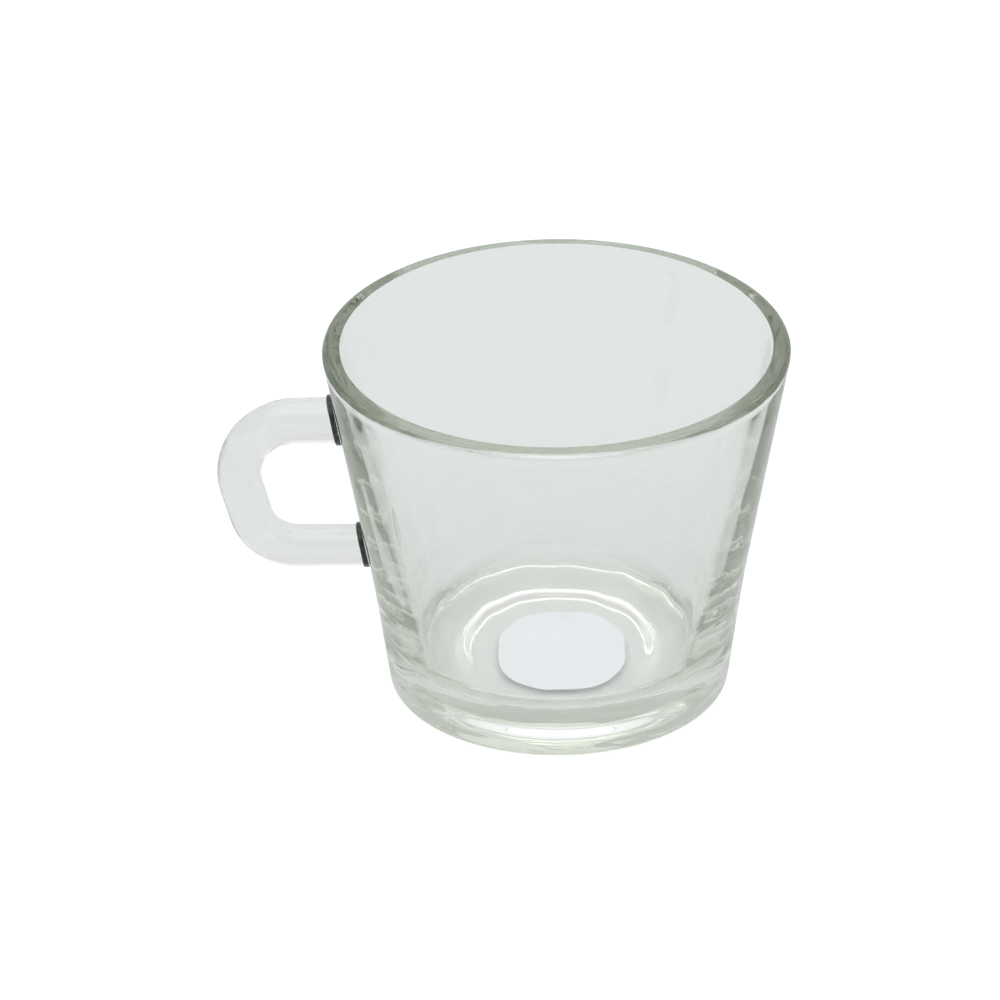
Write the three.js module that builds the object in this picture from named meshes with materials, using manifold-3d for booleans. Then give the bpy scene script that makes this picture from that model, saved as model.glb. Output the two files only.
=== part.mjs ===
// A clear pressed-glass coffee cup: a tapered bowl with a thick base, a bent glass rod welded
// to its side as a finger loop, and a blank paper label stuck in the hollow under the base.
// Millimetres, +Z up. The cup stands on Z = 0 and the handle points along -X.
// The origin is the middle of the whole cup's footprint, handle included.

import * as THREE from 'three';
import { mergeVertices } from 'three/addons/utils/BufferGeometryUtils.js';
import Module from 'manifold-3d';

const wasm = await Module();
wasm.setup();

// Outside of the bowl
const cupHeight = 72.8;
const rimRadius = 45;
const waistRadius = 36.4; // where the wall changes from its lower to its upper taper
const waistHeight = 24;
const waistBlend = 6.6; // wall on each side of the waist that its soft rounding takes up
const footRadius = 33.1; // the lower wall line carried down to the table
const heelRound = 1.2;

// Inside of the bowl
const rimWall = 3.4;
const lipOutside = 1.4; // rounding of the lip's outer edge
const lipInside = 0.3;
const collarHeight = 2.6; // upright inner wall below the lip
const collarRound = 12;
const lowerWall = 5.4; // wall thickness at the height of the waist
const floorHeight = 8.3;
const floorRound = 6;

// Label under the base
const labelWidth = 25;
const labelLength = 28.1;
const labelCorner = 11;
const labelThickness = 0.15;
const labelAside = 0.5; // from the bowl's axis towards the right
const labelForward = 1.65; // from the bowl's axis towards the front

// Hollow under the base, as wide as the label needs
const hollowDepth = 2;
const hollowSlope = 3.4; // how much wider the hollow is at the table than at its roof
const roofRound = 4;
const footRound = 7;
const labelMargin = 0.15; // flat roof left free round the label

// Handle, measured along the middle of its rod
const upperRodDiameter = 9.05;
const lowerRodDiameter = 8;
const upperArmHeight = 56.4;
const lowerArmHeight = 28.8;
const handleStandOff = 20.9; // from the rim to the outermost face of the handle
const gripLean = THREE.MathUtils.degToRad(15); // the grip is drawn in towards its lower end
const upperBend = 11.5;
const lowerBend = 9.5;

// Welds between the rod's ends and the wall
const weldThickness = 1.1;
const weldLip = 0.45; // how far the weld stands out round the rod
const weldClearance = 0.3; // each side of a weld

// Fineness of the round shapes
const turnedSegments = 72;
const arcSteps = 3;
const rodSides = 24;
const rodSteps = 56;

const lipCorner = rimRadius + cornerOvershoot(lipOutside,
  Math.atan2(rimRadius - waistRadius, cupHeight - waistHeight));
const waistTurn = Math.atan2(lipCorner - waistRadius, cupHeight - waistHeight)
  - Math.atan2(waistRadius - footRadius, waistHeight);
const waistRound = waistBlend / Math.tan(Math.abs(waistTurn) / 2);
const labelReach = labelCorner + Math.hypot(labelWidth / 2 - labelCorner + labelAside,
  labelLength / 2 - labelCorner + labelForward);
const hollowRoof = labelReach + labelMargin
  + roofRound * Math.tan(Math.atan2(hollowDepth, hollowSlope) / 2);

const clearGlass = { color: 0xdfe6e1, roughness: 0.05, metalness: 0 };
const weldGlass = { color: 0x3f4640, roughness: 0.2, metalness: 0 };
const labelPaper = { color: 0xe6e9f0, roughness: 0.8, metalness: 0 };

// How far a sharp corner between a level side and a side leaning outwards by an angle
// lies beyond the outermost point of its rounding.
function cornerOvershoot(radius, lean) {
  return radius * ((1 + Math.sin(lean)) / Math.cos(lean) - 1);
}

// Radius of the bowl's outer face at a height, as two straight tapers that meet at the waist.
function outerRadiusAt(height) {
  const upper = (lipCorner - waistRadius) / (cupHeight - waistHeight);
  const lower = (waistRadius - footRadius) / waistHeight;
  const taper = height > waistHeight ? upper : lower;
  return waistRadius + taper * (height - waistHeight);
}

// Adds a rounded corner to a path: a straight run up to the corner's arc, then the arc.
function addRoundedCorner(path, before, corner, after, radius) {
  const arriving = corner.clone().sub(before).normalize();
  const leaving = after.clone().sub(corner).normalize();
  const halfTurn = Math.acos(THREE.MathUtils.clamp(arriving.dot(leaving), -1, 1)) / 2;
  const setBack = radius * Math.tan(halfTurn);
  const start = corner.clone().addScaledVector(arriving, -setBack);
  const inward = leaving.clone().sub(arriving).normalize();
  const centre = corner.clone().addScaledVector(inward, radius / Math.cos(halfTurn));
  const end = corner.clone().addScaledVector(leaving, setBack);
  const clockwise = arriving.cross(leaving) < 0;
  path.lineTo(start.x, start.y);
  path.absarc(centre.x, centre.y, radius,
    Math.atan2(start.y - centre.y, start.x - centre.x),
    Math.atan2(end.y - centre.y, end.x - centre.x), clockwise);
}

// A path through corner points, each rounded by its own radius. A radius of 0 keeps it sharp.
function roundedOutline(corners) {
  const points = corners.map(([x, y]) => new THREE.Vector2(x, y));
  const path = new THREE.Path();
  path.moveTo(points[0].x, points[0].y);
  for (let i = 1; i < points.length - 1; i += 1) {
    const radius = corners[i][2];
    if (radius > 0) addRoundedCorner(path, points[i - 1], points[i], points[i + 1], radius);
    else path.lineTo(points[i].x, points[i].y);
  }
  const last = points[points.length - 1];
  path.lineTo(last.x, last.y);
  return path;
}

// Turns an outline of radius and height about the Z axis.
function turned(outline) {
  const lathe = new THREE.LatheGeometry(outline.getPoints(arcSteps), turnedSegments);
  return lathe.rotateX(Math.PI / 2);
}

function toSolid(geometry) {
  const bare = geometry.clone();
  bare.deleteAttribute('normal');
  bare.deleteAttribute('uv');
  const merged = mergeVertices(bare);
  return new wasm.Manifold(new wasm.Mesh({
    numProp: 3,
    vertProperties: new Float32Array(merged.attributes.position.array),
    triVerts: new Uint32Array(merged.index.array),
  }));
}

function toGeometry(solid) {
  const mesh = solid.getMesh();
  const geometry = new THREE.BufferGeometry();
  geometry.setAttribute('position', new THREE.BufferAttribute(mesh.vertProperties, 3));
  geometry.setIndex(new THREE.BufferAttribute(mesh.triVerts, 1));
  geometry.computeVertexNormals();
  return geometry;
}

function named(name, geometry, finish) {
  const mesh = new THREE.Mesh(geometry, new THREE.MeshStandardMaterial(finish));
  mesh.name = name;
  return mesh;
}

// The bowl in one turned piece: hollow, foot ring, heel, outer wall, lip, collar, inner wall
// and floor.
function makeBowl() {
  const innerRim = rimRadius - rimWall;
  const innerWaist = waistRadius - lowerWall;
  const collarFoot = cupHeight - collarHeight;
  const innerTaper = (innerRim - innerWaist) / (collarFoot - waistHeight);
  const innerFloor = innerWaist - innerTaper * (waistHeight - floorHeight);
  return turned(roundedOutline([
    [0, hollowDepth],
    [hollowRoof, hollowDepth, roofRound],
    [hollowRoof + hollowSlope, 0, footRound],
    [footRadius, 0, heelRound],
    [waistRadius, waistHeight, waistRound],
    [lipCorner, cupHeight, lipOutside],
    [innerRim, cupHeight, lipInside],
    [innerRim, collarFoot, collarRound],
    [innerFloor, floorHeight, floorRound],
    [0, floorHeight],
  ]));
}

// A solid body bounded by the bowl's outer wall moved outwards by a distance.
function wallBody(distance) {
  const below = -upperRodDiameter;
  const above = cupHeight + upperRodDiameter;
  return toSolid(turned(roundedOutline([
    [0, below],
    [outerRadiusAt(below) + distance, below, 0],
    [waistRadius + distance, waistHeight, waistRound],
    [outerRadiusAt(above) + distance, above, 0],
    [0, above],
  ])));
}

// The line along the middle of the rod, in the XZ plane: out, down the grip and back in.
class HandleLine extends THREE.Curve {
  constructor() {
    super();
    const gripRadius = (upperRodDiameter + lowerRodDiameter) / 4;
    const outermost = gripRadius - rimRadius - handleStandOff;
    const upperCorner = outermost - cornerOvershoot(upperBend, gripLean);
    const drawnIn = (upperArmHeight - lowerArmHeight) * Math.tan(gripLean);
    this.outline = roundedOutline([
      [upperRodDiameter - outerRadiusAt(upperArmHeight), upperArmHeight],
      [upperCorner, upperArmHeight, upperBend],
      [upperCorner + drawnIn, lowerArmHeight, lowerBend],
      [lowerRodDiameter - outerRadiusAt(lowerArmHeight), lowerArmHeight],
    ]);
  }

  getPoint(t, target = new THREE.Vector3()) {
    const point = this.outline.getPointAt(t);
    return target.set(point.x, 0, point.y);
  }
}

// A closed round rod along a line in the XZ plane, its radius changing evenly from end to end.
function taperedRod(line, startRadius, endRadius) {
  const sideways = new THREE.Vector3(0, 1, 0);
  const points = [];
  const faces = [];
  for (let step = 0; step <= rodSteps; step += 1) {
    const along = step / rodSteps;
    const radius = THREE.MathUtils.lerp(startRadius, endRadius, along);
    const across = sideways.clone().cross(line.getTangent(along));
    for (let side = 0; side < rodSides; side += 1) {
      const turn = 2 * Math.PI * side / rodSides;
      points.push(line.getPoint(along)
        .addScaledVector(across, radius * Math.cos(turn))
        .addScaledVector(sideways, radius * Math.sin(turn)));
      const here = step * rodSides + side;
      const next = step * rodSides + (side + 1) % rodSides;
      if (step < rodSteps) {
        faces.push(here, next, next + rodSides, here, next + rodSides, here + rodSides);
      }
    }
  }
  const lastRing = rodSteps * rodSides;
  for (let side = 1; side < rodSides - 1; side += 1) {
    faces.push(0, side + 1, side);
    faces.push(lastRing, lastRing + side, lastRing + side + 1);
  }
  return new THREE.BufferGeometry().setFromPoints(points).setIndex(faces);
}

// The bent rod, its two ends cut to the wall with room for the welds.
function makeHandle() {
  const rod = taperedRod(new HandleLine(), upperRodDiameter / 2, lowerRodDiameter / 2);
  const room = weldThickness + 2 * weldClearance;
  return toGeometry(toSolid(rod).subtract(wallBody(room)));
}

// The seam of glass between the wall and one end of the rod, curved to the wall.
function makeWeld(armHeight, rodDiameter) {
  const radius = rodDiameter / 2 + weldLip;
  const stub = new THREE.CylinderGeometry(radius, radius, rimRadius, rodSides);
  stub.rotateZ(Math.PI / 2).translate(-rimRadius, 0, armHeight);
  const layer = wallBody(weldClearance + weldThickness).subtract(wallBody(weldClearance));
  return toGeometry(toSolid(stub).intersect(layer));
}

// The label, a sheet with rounded corners against the roof of the hollow.
function makeLabel() {
  const x = labelWidth / 2;
  const y = labelLength / 2;
  const sheet = new THREE.Shape(roundedOutline([
    [0, -y],
    [x, -y, labelCorner],
    [x, y, labelCorner],
    [-x, y, labelCorner],
    [-x, -y, labelCorner],
    [0, -y],
  ]).getPoints(arcSteps));
  return new THREE.ExtrudeGeometry(sheet, { depth: labelThickness, bevelEnabled: false });
}

const cup = new THREE.Group();
cup.position.x = handleStandOff / 2;
cup.add(named('bowl', makeBowl(), clearGlass));
cup.add(named('handle', makeHandle(), clearGlass));
cup.add(named('upper_weld', makeWeld(upperArmHeight, upperRodDiameter), weldGlass));
cup.add(named('lower_weld', makeWeld(lowerArmHeight, lowerRodDiameter), weldGlass));

const label = named('base_label', makeLabel(), labelPaper);
label.position.set(labelAside, -labelForward, hollowDepth - labelThickness);
cup.add(label);

export default cup;
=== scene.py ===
# Clear glass coffee cup: bowl, welded rod handle and a blank label under the base,
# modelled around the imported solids. Metres, +Z up, handle along -X.

import math

import bpy
from bpy.props import FloatProperty, FloatVectorProperty, IntProperty, PointerProperty
from mathutils import Matrix, Vector


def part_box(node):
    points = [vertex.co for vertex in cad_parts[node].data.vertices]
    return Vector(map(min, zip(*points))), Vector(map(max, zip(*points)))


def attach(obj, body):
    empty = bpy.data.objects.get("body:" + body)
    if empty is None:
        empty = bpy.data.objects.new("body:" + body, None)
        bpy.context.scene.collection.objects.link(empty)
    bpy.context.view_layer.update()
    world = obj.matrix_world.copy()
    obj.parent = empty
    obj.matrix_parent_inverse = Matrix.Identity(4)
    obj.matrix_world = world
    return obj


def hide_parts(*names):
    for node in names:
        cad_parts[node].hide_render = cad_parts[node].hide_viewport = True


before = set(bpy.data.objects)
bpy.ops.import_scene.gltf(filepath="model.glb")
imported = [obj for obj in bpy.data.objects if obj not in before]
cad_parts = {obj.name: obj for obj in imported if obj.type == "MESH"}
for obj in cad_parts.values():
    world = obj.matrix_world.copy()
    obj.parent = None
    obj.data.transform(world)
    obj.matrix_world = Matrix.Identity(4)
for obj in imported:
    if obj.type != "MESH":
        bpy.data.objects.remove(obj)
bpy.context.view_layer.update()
bowl_low, bowl_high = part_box("bowl")
label_low, label_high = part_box("base_label")

bl_info = {
    "name": "Glass coffee cup",
    "version": (1, 0, 0),
    "blender": (4, 5, 0),
    "location": "3D View > Sidebar > Cup",
    "description": "Models a clear glass coffee cup with its handle, welds and label",
    "category": "Add Mesh",
}

AXIS_X = (bowl_low.x + bowl_high.x) / 2  # the bowl's axis
ARC_STEP = math.radians(5)  # longest step of a rounded corner
LEAST_ARC_STEPS = 6
HOLD = 0.0003  # from the end of a straight run to the point that holds it
LONG_RUN = 4 * HOLD  # a run that needs holding is longer
POLE = 0.1  # innermost ring of the bowl, as a share of the hollow's roof

# Edges that bend by more degrees stay sharp

TURNED_BEND = 80
ROD_BEND = 50
WELD_BEND = 40
LABEL_BEND = 30


def length(name, description, default):
    return FloatProperty(name=name, description=description, default=default,
                         min=0, unit='LENGTH', precision=5)


def angle(name, description, degrees):
    return FloatProperty(name=name, description=description,
                         default=math.radians(degrees), subtype='ANGLE')


def colour(name, description, default):
    return FloatVectorProperty(name=name, description=description, default=default,
                               size=3, min=0, max=1, subtype='COLOR')


# Sizes and colours

class CupBowl(bpy.types.PropertyGroup):
    height: length("Height", "From the table to the lip", bowl_high.z)
    rim_radius: length("Rim radius", "Outside of the lip", (bowl_high.x - bowl_low.x) / 2)
    waist_radius: length("Waist radius", "Where the wall changes its taper", 0.0364)
    waist_height: length("Waist height", "Height of that change of taper", 0.024)
    waist_blend: length("Waist blend", "Wall taken up by the waist's rounding", 0.0066)
    foot_radius: length("Foot radius", "Lower wall carried down to the table", 0.0331)
    heel_round: length("Heel rounding", "Edge between wall and foot", 0.0012)
    rim_wall: length("Rim wall", "Thickness of the wall at the lip", 0.0034)
    lip_outside: length("Lip outside", "Rounding of the lip's outer edge", 0.0014)
    lip_inside: length("Lip inside", "Rounding of the lip's inner edge", 0.0003)
    collar: length("Collar", "Height of the upright inside wall below the lip", 0.0026)
    collar_round: length("Collar round", "Rounding below the collar", 0.012)
    lower_wall: length("Lower wall", "Thickness of the wall at the waist", 0.0054)
    floor_height: length("Floor height", "Inside floor above the table", 0.0083)
    floor_round: length("Floor rounding", "Between the floor and the inner wall", 0.006)
    hollow_depth: length("Hollow depth", "Hollow under the base", label_high.z)
    hollow_roof: length("Hollow roof", "Radius of the hollow at its roof", 0.01735)
    hollow_slope: length("Hollow slope", "How much wider the hollow is at the table", 0.0034)
    roof_round: length("Roof rounding", "Edge of the hollow's roof", 0.004)
    foot_round: length("Foot rounding", "Inner edge of the foot ring", 0.007)
    segments: IntProperty(name="Segments", description="Steps round the bowl", default=192)


class CupHandle(bpy.types.PropertyGroup):
    upper_diameter: length("Upper rod", "Rod diameter at its upper end", 0.00905)
    lower_diameter: length("Lower rod", "Rod diameter at its lower end", 0.008)
    upper_height: length("Upper arm", "Height of the upper arm", 0.0564)
    lower_height: length("Lower arm", "Height of the lower arm", 0.0288)
    stand_off: length("Stand-off", "From the rim to the handle's outer face", 0.0209)
    grip_lean: angle("Grip lean", "How far the grip is drawn in downwards", 15)
    upper_bend: length("Upper bend", "Bend radius at the middle of the rod", 0.0115)
    lower_bend: length("Lower bend", "Bend radius at the middle of the rod", 0.0095)
    sides: IntProperty(name="Sides", description="Steps round the rod", default=64)


class CupWeld(bpy.types.PropertyGroup):
    thickness: length("Thickness", "From the wall's side to the rod's side", 0.00105)
    lip: length("Lip", "How far a weld stands out round the rod", 0.00045)
    gap: length("Gap", "Hairline between a weld and the glass beside it", 0.00015)
    edge: length("Edge", "Rounding of a weld's rim", 0.00022)


class CupLabel(bpy.types.PropertyGroup):
    width: length("Width", "Across the cup", label_high.x - label_low.x)
    length: length("Length", "From front to back", label_high.y - label_low.y)
    corner: length("Corner", "Rounding of the corners", 0.011)
    thickness: length("Thickness", "Paper and glue", label_high.z - label_low.z)
    gap: length("Gap", "Hairline of air between the paper and the glass", 0.00003)


class CupLook(bpy.types.PropertyGroup):
    glass_tint: colour("Glass tint", "Colour that the glass lets pass best", (0.652, 0.70, 0.61))
    glass_density: FloatProperty(name="Glass density", description="Strength of the tint",
                                 default=15, min=0)
    glass_waves: length("Glass waves", "Height of the slow waves from the mould", 0.00025)
    # Painted shade on the welds' rims, standing in for the dark band that refraction makes at the
    # fused joints
    seam: colour("Seam", "Rim of the welds", (0.012, 0.014, 0.011))
    seam_waves: length("Seam waves", "Height of the waves on the welds", 0.00004)
    paper: colour("Paper", "Blank label", (0.82, 0.84, 0.89))
    floor: colour("Floor", "Table top", (0.65, 0.67, 0.665))


GROUPS = {"cup_bowl": CupBowl, "cup_handle": CupHandle, "cup_weld": CupWeld,
          "cup_label": CupLabel, "cup_look": CupLook}


# Outlines

def rounded_outline(corners):
    """Points through corners of (x, y, rounding), with an arc at each rounded corner."""
    points = [Vector(corners[0][:2])]
    for before, (x, y, radius), after in zip(corners, corners[1:], corners[2:]):
        corner = Vector((x, y))
        arriving = (corner - Vector(before[:2])).normalized()
        leaving = (Vector(after[:2]) - corner).normalized()
        turn = arriving.angle(leaving)
        start = corner - arriving * radius * math.tan(turn / 2)
        centre = corner + (leaving - arriving).normalized() * radius / math.cos(turn / 2)
        way = math.copysign(turn, arriving.cross(leaving))
        steps = max(LEAST_ARC_STEPS, math.ceil(turn / ARC_STEP))
        for step in range(steps + 1):
            spoke = Matrix.Rotation(way * step / steps, 2) @ (start - centre)
            points.append(centre + spoke)
    points.append(Vector(corners[-1][:2]))
    return points


def held(points):
    """Adds a point near both ends of each long straight run, to keep its shading straight."""
    result = [points[0]]
    for here, there in zip(points, points[1:]):
        run = there - here
        if run.length > LONG_RUN:
            hold = run.normalized() * HOLD
            result += [here + hold, there - hold]
        result.append(there)
    return result


def corner_overshoot(radius, lean):
    """How far a corner between a level and a leaning side lies beyond its rounding."""
    return radius * ((1 + math.sin(lean)) / math.cos(lean) - 1)


def lip_corner(bowl):
    lean = math.atan2(bowl.rim_radius - bowl.waist_radius, bowl.height - bowl.waist_height)
    return bowl.rim_radius + corner_overshoot(bowl.lip_outside, lean)


def waist_round(bowl):
    upper = math.atan2(lip_corner(bowl) - bowl.waist_radius, bowl.height - bowl.waist_height)
    lower = math.atan2(bowl.waist_radius - bowl.foot_radius, bowl.waist_height)
    return bowl.waist_blend / math.tan(abs(upper - lower) / 2)


def outer_radius(bowl, height):
    """Radius of the bowl's outer face at a height."""
    if height > bowl.waist_height:
        rise = (lip_corner(bowl) - bowl.waist_radius) / (bowl.height - bowl.waist_height)
    else:
        rise = (bowl.waist_radius - bowl.foot_radius) / bowl.waist_height
    return bowl.waist_radius + rise * (height - bowl.waist_height)


def bowl_outline(bowl):
    """The bowl's section, from the hollow's roof round the outside and the lip to the floor."""
    inner_rim = bowl.rim_radius - bowl.rim_wall
    inner_waist = bowl.waist_radius - bowl.lower_wall
    collar_foot = bowl.height - bowl.collar
    taper = (inner_rim - inner_waist) / (collar_foot - bowl.waist_height)
    inner_floor = inner_waist - taper * (bowl.waist_height - bowl.floor_height)
    pole = POLE * bowl.hollow_roof
    return held(rounded_outline([
        (pole, bowl.hollow_depth, 0),
        (bowl.hollow_roof, bowl.hollow_depth, bowl.roof_round),
        (bowl.hollow_roof + bowl.hollow_slope, 0, bowl.foot_round),
        (bowl.foot_radius, 0, bowl.heel_round),
        (bowl.waist_radius, bowl.waist_height, waist_round(bowl)),
        (lip_corner(bowl), bowl.height, bowl.lip_outside),
        (inner_rim, bowl.height, bowl.lip_inside),
        (inner_rim, collar_foot, bowl.collar_round),
        (inner_floor, bowl.floor_height, bowl.floor_round),
        (pole, bowl.floor_height, 0),
    ]))


def wall_outline(bowl, distance):
    """Section of a plain body whose side is the bowl's outer wall moved outwards."""
    margin = bowl.rim_radius / 5
    low, high = -margin, bowl.height + margin
    return [
        Vector((outer_radius(bowl, low) + distance, low)),
        *rounded_outline([
            (outer_radius(bowl, 0) + distance, 0, 0),
            (bowl.waist_radius + distance, bowl.waist_height, waist_round(bowl)),
            (lip_corner(bowl) + distance, bowl.height, 0),
        ]),
        Vector((outer_radius(bowl, high) + distance, high)),
    ]


def handle_line(bowl, handle):
    """The middle of the rod as (x, z): out from the wall, down the grip and back in."""
    grip_radius = (handle.upper_diameter + handle.lower_diameter) / 4
    outermost = grip_radius - bowl.rim_radius - handle.stand_off
    upper_corner = outermost - corner_overshoot(handle.upper_bend, handle.grip_lean)
    drop = handle.upper_height - handle.lower_height
    lower_corner = upper_corner + drop * math.tan(handle.grip_lean)
    upper_end = handle.upper_diameter - outer_radius(bowl, handle.upper_height)
    lower_end = handle.lower_diameter - outer_radius(bowl, handle.lower_height)
    return held(rounded_outline([
        (AXIS_X + upper_end, handle.upper_height, 0),
        (AXIS_X + upper_corner, handle.upper_height, handle.upper_bend),
        (AXIS_X + lower_corner, handle.lower_height, handle.lower_bend),
        (AXIS_X + lower_end, handle.lower_height, 0),
    ]))


# Modelling steps

def start_ring(name, steps, radius, place, turn=(0, 0, 0)):
    """Adds a ring of edges as a new piece and selects it for editing."""
    bpy.ops.object.select_all(action='DESELECT')
    bpy.ops.mesh.primitive_circle_add(vertices=steps, radius=radius, location=place,
                                      rotation=turn)
    piece = bpy.context.object
    piece.name = name
    piece.data.name = name
    bpy.ops.object.transform_apply(location=True, rotation=True, scale=True)
    bpy.ops.object.mode_set(mode='EDIT')
    bpy.ops.mesh.select_all(action='SELECT')
    return piece


def extrude_by(step):
    bpy.ops.mesh.extrude_region_move(TRANSFORM_OT_translate={"value": tuple(step)})


def close_ring():
    """Closes the selected ring with a fan of faces."""
    extrude_by((0, 0, 0))
    bpy.ops.mesh.merge(type='CENTER')


def close_open_ring():
    """Selects the ring that is still open and closes it."""
    bpy.ops.mesh.select_all(action='DESELECT')
    bpy.ops.mesh.select_mode(type='EDGE')
    bpy.ops.mesh.select_non_manifold()
    close_ring()
    bpy.ops.mesh.select_mode(type='VERT')


def smooth(bend):
    """Shades the selected piece smooth, apart from edges that bend by more degrees."""
    bpy.ops.object.shade_smooth_by_angle(angle=math.radians(bend))


def end_editing(piece, bend):
    """Turns the faces outwards, leaves edit mode and shades the piece smooth."""
    bpy.ops.mesh.select_all(action='SELECT')
    bpy.ops.mesh.normals_make_consistent(inside=False)
    bpy.ops.object.mode_set(mode='OBJECT')
    smooth(bend)
    return piece


def turned_piece(name, outline, steps):
    """One ring, extruded and resized along an outline of (radius, height), closed at its ends."""
    piece = start_ring(name, steps, outline[0].x, (AXIS_X, 0, outline[0].y))
    for here, there in zip(outline, outline[1:]):
        extrude_by((0, 0, there.y - here.y))
        grow = there.x / here.x
        bpy.ops.transform.resize(value=(grow, grow, 1),
                                 center_override=(AXIS_X, 0, there.y))
    close_ring()
    close_open_ring()
    return end_editing(piece, TURNED_BEND)


def swept_rod(name, line, start_radius, end_radius, sides):
    """One ring, extruded, turned and drawn in along a line in the XZ plane."""
    runs = [there - here for here, there in zip(line, line[1:])]
    total = sum(run.length for run in runs)
    tangents = [(a.normalized() + b.normalized()).normalized()
                for a, b in zip([runs[0], *runs], [*runs, runs[-1]])]
    leans = [math.atan2(tangent.y, tangent.x) % (2 * math.pi) for tangent in tangents]
    piece = start_ring(name, sides, start_radius, (line[0].x, 0, line[0].y),
                       (0, math.pi / 2, 0))
    travelled = 0
    radius = start_radius
    for run, place, lean, next_lean in zip(runs, line[1:], leans, leans[1:]):
        travelled += run.length
        next_radius = start_radius + (end_radius - start_radius) * travelled / total
        centre = (place.x, 0, place.y)
        extrude_by((run.x, 0, run.y))
        bpy.ops.transform.rotate(value=next_lean - lean, orient_axis='Y',
                                 center_override=centre)
        grow = next_radius / radius
        bpy.ops.transform.resize(value=(grow, grow, grow), center_override=centre)
        radius = next_radius
    close_ring()
    close_open_ring()
    return end_editing(piece, ROD_BEND)


def shape_by(piece, cutter, operation):
    """Cuts a piece with another one, which is then removed."""
    modifier = piece.modifiers.new(name="Cut to the wall", type='BOOLEAN')
    modifier.operation = operation
    modifier.solver = 'EXACT'
    modifier.object = cutter
    apply_modifier(piece, modifier)
    bpy.data.objects.remove(cutter)


def apply_modifier(piece, modifier):
    bpy.ops.object.select_all(action='DESELECT')
    piece.select_set(True)
    bpy.context.view_layer.objects.active = piece
    bpy.ops.object.modifier_apply(modifier=modifier.name)


def finish_piece(piece, material, node):
    """Gives a piece its finish and ties it to the solid that it stands for."""
    piece.data.materials.clear()
    piece.data.materials.append(material)
    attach(piece, "root")
    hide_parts(node)


# Finishes

GLASS_IOR = 1.5
WAVE_SCALE = 90
WAVE_STRETCH = (1, 1, 0.1)  # the waves run upright
SMEAR_SCALE = 140
SMEAR_ROUGHNESS = 0.02
SEAM_SHADE_UNTIL = 0.6  # a weld's face gets painted shade where it looks less along the rod than this
SEAM_CLEAR = 0.85  # and clear where it looks along it more than this
CLOUD_SCALE = 900
CLOUD_RANGE = (0.25, 0.75)
CLOUD_SHADE = 0.94
FIBRE_SCALE = 5200
FIBRE_STRETCH = (1, 0.3, 1)
FIBRE_HEIGHT = 0.00003
FIBRE_STRENGTH = 0.5
PAPER_ROUGHNESS = (0.78, 0.92)


def new_material(name):
    material = bpy.data.materials.new(name)
    material.use_nodes = True
    return material, material.node_tree, material.node_tree.nodes["Principled BSDF"]


def noise(tree, scale, detail, stretch=(1, 1, 1)):
    """Noise on the piece's own coordinates, drawn out along an axis by a stretch."""
    place = tree.nodes.new("ShaderNodeTexCoord")
    mapping = tree.nodes.new("ShaderNodeMapping")
    mapping.inputs["Scale"].default_value = stretch
    texture = tree.nodes.new("ShaderNodeTexNoise")
    texture.inputs["Scale"].default_value = scale
    texture.inputs["Detail"].default_value = detail
    tree.links.new(place.outputs["Object"], mapping.inputs["Vector"])
    tree.links.new(mapping.outputs["Vector"], texture.inputs["Vector"])
    return texture.outputs["Fac"]


def bump(tree, height, distance, strength):
    node = tree.nodes.new("ShaderNodeBump")
    node.inputs["Distance"].default_value = distance
    node.inputs["Strength"].default_value = strength
    tree.links.new(height, node.inputs["Height"])
    return node.outputs["Normal"]


def ranged(tree, value, low, high):
    node = tree.nodes.new("ShaderNodeMapRange")
    node.inputs["To Min"].default_value = low
    node.inputs["To Max"].default_value = high
    tree.links.new(value, node.inputs["Value"])
    return node.outputs["Result"]


def ramp(tree, value, stops):
    """Colour along a value, from stops of (position, colour) in rising order."""
    node = tree.nodes.new("ShaderNodeValToRGB")
    elements = node.color_ramp.elements
    while len(elements) < len(stops):
        elements.new(0.5)
    for element, (position, tone) in zip(elements, stops):
        element.position = position
        element.color = (*tone, 1)
    tree.links.new(value, node.inputs["Fac"])
    return node.outputs["Color"]


def absorb(tree, tint, density):
    node = tree.nodes.new("ShaderNodeVolumeAbsorption")
    node.inputs["Color"].default_value = (*tint, 1)
    node.inputs["Density"].default_value = density
    tree.links.new(node.outputs["Volume"], tree.nodes["Material Output"].inputs["Volume"])


def make_glass(name, look, wave_height):
    """Pressed glass: clear, with a faint olive tint, slow waves from the mould and smears."""
    material, tree, shader = new_material(name)
    shader.inputs["Base Color"].default_value = (1, 1, 1, 1)
    shader.inputs["Transmission Weight"].default_value = 1
    shader.inputs["IOR"].default_value = GLASS_IOR
    waves = noise(tree, WAVE_SCALE, 1, WAVE_STRETCH)
    tree.links.new(bump(tree, waves, wave_height, 1), shader.inputs["Normal"])
    smears = noise(tree, SMEAR_SCALE, 3)
    tree.links.new(ranged(tree, smears, 0, SMEAR_ROUGHNESS), shader.inputs["Roughness"])
    absorb(tree, look.glass_tint, look.glass_density)
    return material


def paint_rim_shade(material, tone):
    """Paints shade where the glass faces across the rod, for the dark refraction band at a fused
    joint; leaves the faces along it clear.
    """
    tree = material.node_tree
    facing = tree.nodes.new("ShaderNodeNewGeometry")
    split = tree.nodes.new("ShaderNodeSeparateXYZ")
    size = tree.nodes.new("ShaderNodeMath")
    size.operation = 'ABSOLUTE'
    tree.links.new(facing.outputs["Normal"], split.inputs["Vector"])
    tree.links.new(split.outputs["X"], size.inputs[0])
    # painted shade: the base colour goes dark on faces that look across the rod
    tint = ramp(tree, size.outputs["Value"], ((SEAM_SHADE_UNTIL, tone), (SEAM_CLEAR, (1, 1, 1))))
    tree.links.new(tint, tree.nodes["Principled BSDF"].inputs["Base Color"])


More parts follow.
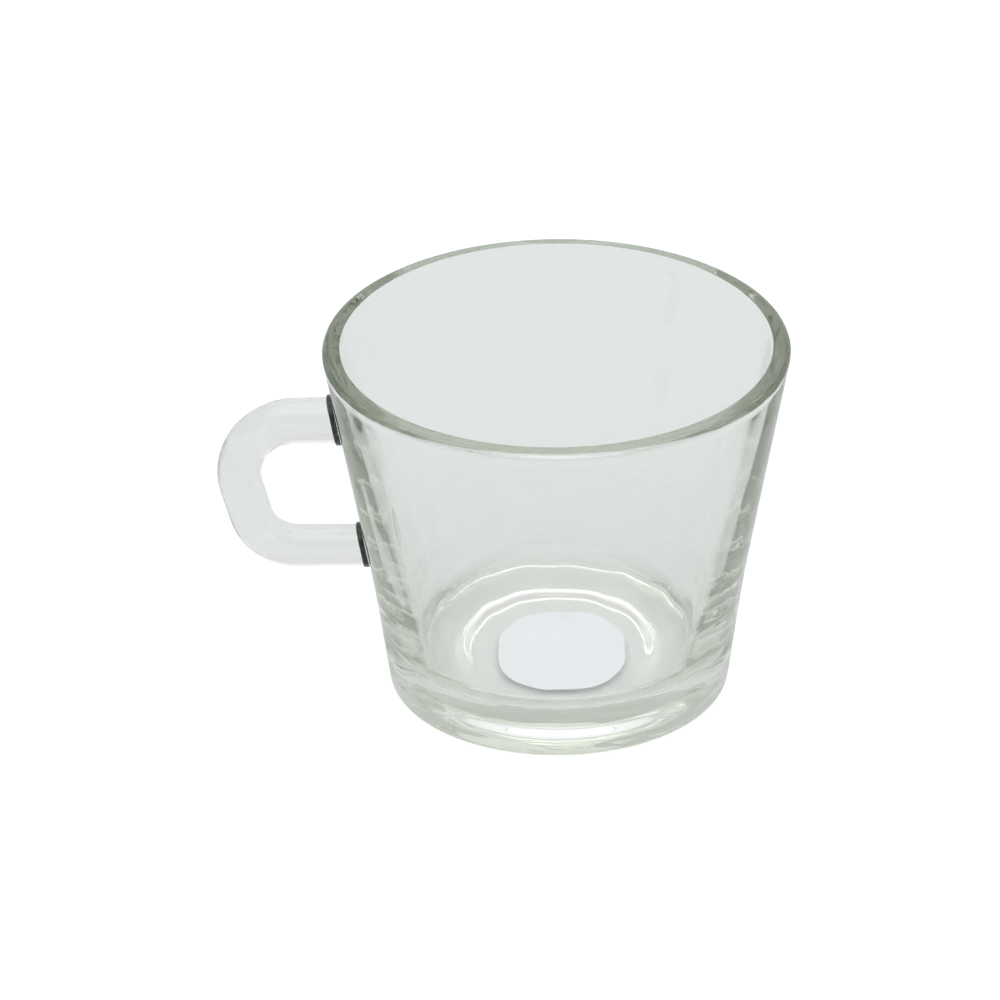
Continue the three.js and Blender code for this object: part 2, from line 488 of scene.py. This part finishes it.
def make_paper(name, tone):
    """Matt label paper with a soft cloudiness and fibres."""
    material, tree, shader = new_material(name)
    cloud = noise(tree, CLOUD_SCALE, 4)
    shade = [CLOUD_SHADE * part for part in tone]
    paper = ramp(tree, cloud, list(zip(CLOUD_RANGE, (shade, tone))))
    tree.links.new(paper, shader.inputs["Base Color"])
    fibres = bump(tree, noise(tree, FIBRE_SCALE, 3, FIBRE_STRETCH), FIBRE_HEIGHT, FIBRE_STRENGTH)
    tree.links.new(fibres, shader.inputs["Normal"])
    tree.links.new(ranged(tree, cloud, *PAPER_ROUGHNESS), shader.inputs["Roughness"])
    return material


def shared_glass(look):
    """The bowl and the handle are the same glass."""
    made = bpy.data.materials.get("pressed_glass")
    return made or make_glass("pressed_glass", look, look.glass_waves)


# Pieces

RIM_STEPS = 3  # rounding of a weld's rim
RIM_CORNER = math.radians(45)  # sharper edges of a weld are rounded
CORNER_STEPS = 16  # rounding of a label's corner


class CUP_OT_bowl(bpy.types.Operator):
    """Turn the bowl with its lip, floor, heel and hollow"""
    bl_idname = "cup.bowl"
    bl_label = "Bowl"

    def execute(self, context):
        bowl = context.scene.cup_bowl
        piece = turned_piece("glass_bowl", bowl_outline(bowl), bowl.segments)
        finish_piece(piece, shared_glass(context.scene.cup_look), "bowl")
        return {'FINISHED'}


class CUP_OT_handle(bpy.types.Operator):
    """Bend the glass rod and cut its ends to the wall"""
    bl_idname = "cup.handle"
    bl_label = "Handle"

    def execute(self, context):
        bowl = context.scene.cup_bowl
        handle = context.scene.cup_handle
        weld = context.scene.cup_weld
        piece = swept_rod("glass_handle", handle_line(bowl, handle),
                          handle.upper_diameter / 2, handle.lower_diameter / 2, handle.sides)
        room = weld.thickness + 2 * weld.gap
        cutter = turned_piece("handle_cutter", wall_outline(bowl, room), bowl.segments)
        shape_by(piece, cutter, 'DIFFERENCE')
        smooth(ROD_BEND)
        finish_piece(piece, shared_glass(context.scene.cup_look), "handle")
        return {'FINISHED'}


class CUP_OT_welds(bpy.types.Operator):
    """Lay a seam of glass between the wall and each end of the rod, with painted shade on its rim
    """
    bl_idname = "cup.welds"
    bl_label = "Welds"

    def execute(self, context):
        handle = context.scene.cup_handle
        look = context.scene.cup_look
        # the welds' glass carries painted shade on its rim
        seam = make_glass("seam_glass_painted_shade", look, look.seam_waves)
        paint_rim_shade(seam, look.seam)
        for node, height, diameter in (
                ("upper_weld", handle.upper_height, handle.upper_diameter),
                ("lower_weld", handle.lower_height, handle.lower_diameter)):
            piece = self.make_weld(context, node, height, diameter)
            finish_piece(piece, seam, node)
        return {'FINISHED'}

    def make_weld(self, context, node, height, diameter):
        bowl = context.scene.cup_bowl
        weld = context.scene.cup_weld
        radius = diameter / 2 + weld.lip
        outside = AXIS_X - outer_radius(bowl, height) - diameter
        piece = start_ring("glass_" + node, context.scene.cup_handle.sides, radius,
                           (outside, 0, height), (0, math.pi / 2, 0))
        extrude_by((2 * diameter, 0, 0))
        close_ring()
        close_open_ring()
        end_editing(piece, WELD_BEND)
        near = turned_piece("weld_near", wall_outline(bowl, weld.gap), bowl.segments)
        shape_by(piece, near, 'DIFFERENCE')
        far = turned_piece("weld_far", wall_outline(bowl, weld.gap + weld.thickness),
                           bowl.segments)
        shape_by(piece, far, 'INTERSECT')
        rim = piece.modifiers.new(name="Rounded rim", type='BEVEL')
        rim.width = weld.edge
        rim.segments = RIM_STEPS
        rim.limit_method = 'ANGLE'
        rim.angle_limit = RIM_CORNER
        apply_modifier(piece, rim)
        smooth(WELD_BEND)
        return piece


class CUP_OT_label(bpy.types.Operator):
    """Cut the blank paper label and stick it under the base"""
    bl_idname = "cup.label"
    bl_label = "Label"

    def execute(self, context):
        label = context.scene.cup_label
        middle = (label_low + label_high) / 2
        top = label_high.z - label.gap
        bpy.ops.object.select_all(action='DESELECT')
        bpy.ops.mesh.primitive_plane_add(size=1, location=(middle.x, middle.y, top))
        piece = bpy.context.object
        piece.name = "paper_label"
        piece.data.name = "paper_label"
        bpy.ops.object.transform_apply(location=True, rotation=True, scale=True)
        bpy.ops.object.mode_set(mode='EDIT')
        bpy.ops.mesh.select_all(action='SELECT')
        bpy.ops.transform.resize(value=(label.width, label.length, 1),
                                 center_override=(middle.x, middle.y, top))
        bpy.ops.mesh.bevel(offset=label.corner, segments=CORNER_STEPS,
                           affect='VERTICES')
        bpy.ops.mesh.select_all(action='SELECT')
        extrude_by((0, 0, label.gap - label.thickness))
        end_editing(piece, LABEL_BEND)
        paper = make_paper("blank_paper", context.scene.cup_look.paper)
        finish_piece(piece, paper, "base_label")
        return {'FINISHED'}


# Stage

CAMERA_DISTANCE = 1.35
CAMERA_ELEVATION = math.radians(29.16)
CAMERA_ROLL = math.radians(-0.49)
CAMERA_TARGET = Vector((AXIS_X, 0, 0.036))
CAMERA_LENS = 250.2
CAMERA_SENSOR = 36
CAMERA_SHIFT = (-0.0578, 0.0104)
FLOOR_SIZE = 6
FLOOR_DROP = 0.0001  # keeps the floor off the foot ring
FLOOR_WHITE = 0.45  # glow that makes the floor white to the camera
FLOOR_IN_GLASS = 0.02  # glow that is seen in gloss and through glass
MOST_BOUNCES = 128
GLASS_BOUNCES = 64
FLOOR_BOUNCES = 8

# Brightness of the room at degrees above the horizon

SKY_FRONT = ((0, 1.15), (12, 1.15), (18, 0.62), (50, 0.62), (60, 1.88))
SKY_BEHIND = ((0, 0.76), (22, 0.76), (32, 1.15), (52, 1.15), (60, 1.88))
SKY_TOP = 4  # the ramps hold shares of this


def make_floor(colour):
    bpy.ops.object.select_all(action='DESELECT')
    bpy.ops.mesh.primitive_plane_add(size=FLOOR_SIZE, location=(0, 0, -FLOOR_DROP))
    floor = bpy.context.object
    floor.name = "floor"
    material, tree, shader = new_material("floor")
    tree.nodes.remove(shader)
    matt = tree.nodes.new("ShaderNodeBsdfDiffuse")
    matt.inputs["Color"].default_value = (*colour, 1)
    glow = tree.nodes.new("ShaderNodeEmission")
    tree.links.new(floor_glow(tree), glow.inputs["Strength"])
    both = tree.nodes.new("ShaderNodeAddShader")
    tree.links.new(matt.outputs["BSDF"], both.inputs[0])
    tree.links.new(glow.outputs["Emission"], both.inputs[1])
    tree.links.new(both.outputs["Shader"], tree.nodes["Material Output"].inputs["Surface"])
    floor.data.materials.append(material)


def floor_glow(tree):
    """Brings the floor up to white for the camera, and a little in gloss and glass."""
    rays = tree.nodes.new("ShaderNodeLightPath")
    total = None
    for ray, share in (("Is Camera Ray", FLOOR_WHITE), ("Is Glossy Ray", FLOOR_IN_GLASS),
                       ("Is Transmission Ray", FLOOR_IN_GLASS)):
        part = tree.nodes.new("ShaderNodeMath")
        part.operation = 'MULTIPLY_ADD'
        part.inputs[1].default_value = share
        part.inputs[2].default_value = 0
        tree.links.new(rays.outputs[ray], part.inputs[0])
        if total:
            tree.links.new(total, part.inputs[2])
        total = part.outputs["Value"]
    return total


def sky_ramp(tree, height, levels):
    """Brightness of the room by height, from levels of (degrees, value)."""
    return ramp(tree, height, [(math.sin(math.radians(degrees)), 3 * (value / SKY_TOP,))
                               for degrees, value in levels])


def make_world():
    """A room with a wide soft light overhead, paler at the horizon in front than behind."""
    world = bpy.data.worlds.new("soft_room")
    bpy.context.scene.world = world
    world.use_nodes = True
    tree = world.node_tree
    place = tree.nodes.new("ShaderNodeTexCoord")
    split = tree.nodes.new("ShaderNodeSeparateXYZ")
    behind = tree.nodes.new("ShaderNodeMix")
    scale = tree.nodes.new("ShaderNodeMath")
    scale.operation = 'MULTIPLY'
    scale.inputs[1].default_value = SKY_TOP
    rays = tree.nodes.new("ShaderNodeLightPath")
    seen = tree.nodes.new("ShaderNodeMix")
    seen.inputs["B"].default_value = 1
    sky = tree.nodes["Background"]
    sky.inputs["Color"].default_value = (1, 1, 1, 1)
    tree.links.new(place.outputs["Generated"], split.inputs["Vector"])
    tree.links.new(split.outputs["Y"], behind.inputs["Factor"])
    tree.links.new(sky_ramp(tree, split.outputs["Z"], SKY_FRONT), behind.inputs["A"])
    tree.links.new(sky_ramp(tree, split.outputs["Z"], SKY_BEHIND), behind.inputs["B"])
    tree.links.new(behind.outputs["Result"], scale.inputs[0])
    tree.links.new(rays.outputs["Is Camera Ray"], seen.inputs["Factor"])
    tree.links.new(scale.outputs["Value"], seen.inputs["A"])
    tree.links.new(seen.outputs["Result"], sky.inputs["Strength"])


def make_camera():
    level = math.cos(CAMERA_ELEVATION)
    back = Vector((0, -level, math.sin(CAMERA_ELEVATION)))
    place = CAMERA_TARGET + CAMERA_DISTANCE * back
    bpy.ops.object.camera_add(location=place)
    camera = bpy.context.object
    facing = (-back).to_track_quat('-Z', 'Y').to_matrix().to_4x4()
    roll = Matrix.Rotation(CAMERA_ROLL, 4, 'Z')
    camera.matrix_world = Matrix.Translation(place) @ facing @ roll
    camera.data.sensor_width = CAMERA_SENSOR
    camera.data.lens = CAMERA_LENS
    camera.data.shift_x, camera.data.shift_y = CAMERA_SHIFT
    bpy.context.scene.camera = camera


class CUP_OT_stage(bpy.types.Operator):
    """Set up the floor, the room light and the camera"""
    bl_idname = "cup.stage"
    bl_label = "Stage"

    def execute(self, context):
        make_floor(context.scene.cup_look.floor)
        make_world()
        make_camera()
        scene = context.scene
        scene.view_settings.view_transform = 'Standard'
        scene.cycles.max_bounces = MOST_BOUNCES
        scene.cycles.transmission_bounces = GLASS_BOUNCES
        scene.cycles.glossy_bounces = GLASS_BOUNCES
        scene.cycles.diffuse_bounces = FLOOR_BOUNCES
        scene.cycles.blur_glossy = 0
        return {'FINISHED'}


OPERATORS = (CUP_OT_bowl, CUP_OT_handle, CUP_OT_welds, CUP_OT_label, CUP_OT_stage)


class CUP_PT_panel(bpy.types.Panel):
    """Lists the cup's sizes, finishes and modelling steps"""
    bl_idname = "CUP_PT_panel"
    bl_label = "Glass coffee cup"
    bl_space_type = 'VIEW_3D'
    bl_region_type = 'UI'
    bl_category = "Cup"

    def draw(self, context):
        for operator in OPERATORS:
            self.layout.operator(operator.bl_idname)
        for name, group in GROUPS.items():
            box = self.layout.box()
            for setting in group.__annotations__:
                box.prop(getattr(context.scene, name), setting)


def register():
    for name, group in GROUPS.items():
        bpy.utils.register_class(group)
        setattr(bpy.types.Scene, name, PointerProperty(type=group))
    for made in (*OPERATORS, CUP_PT_panel):
        bpy.utils.register_class(made)


def unregister():
    for made in (CUP_PT_panel, *reversed(OPERATORS)):
        bpy.utils.unregister_class(made)
    for name, group in GROUPS.items():
        delattr(bpy.types.Scene, name)
        bpy.utils.unregister_class(group)


def main():
    register()
    bpy.ops.cup.bowl()
    bpy.ops.cup.handle()
    bpy.ops.cup.welds()
    bpy.ops.cup.label()
    bpy.ops.cup.stage()


if __name__ == "__main__":
    main()
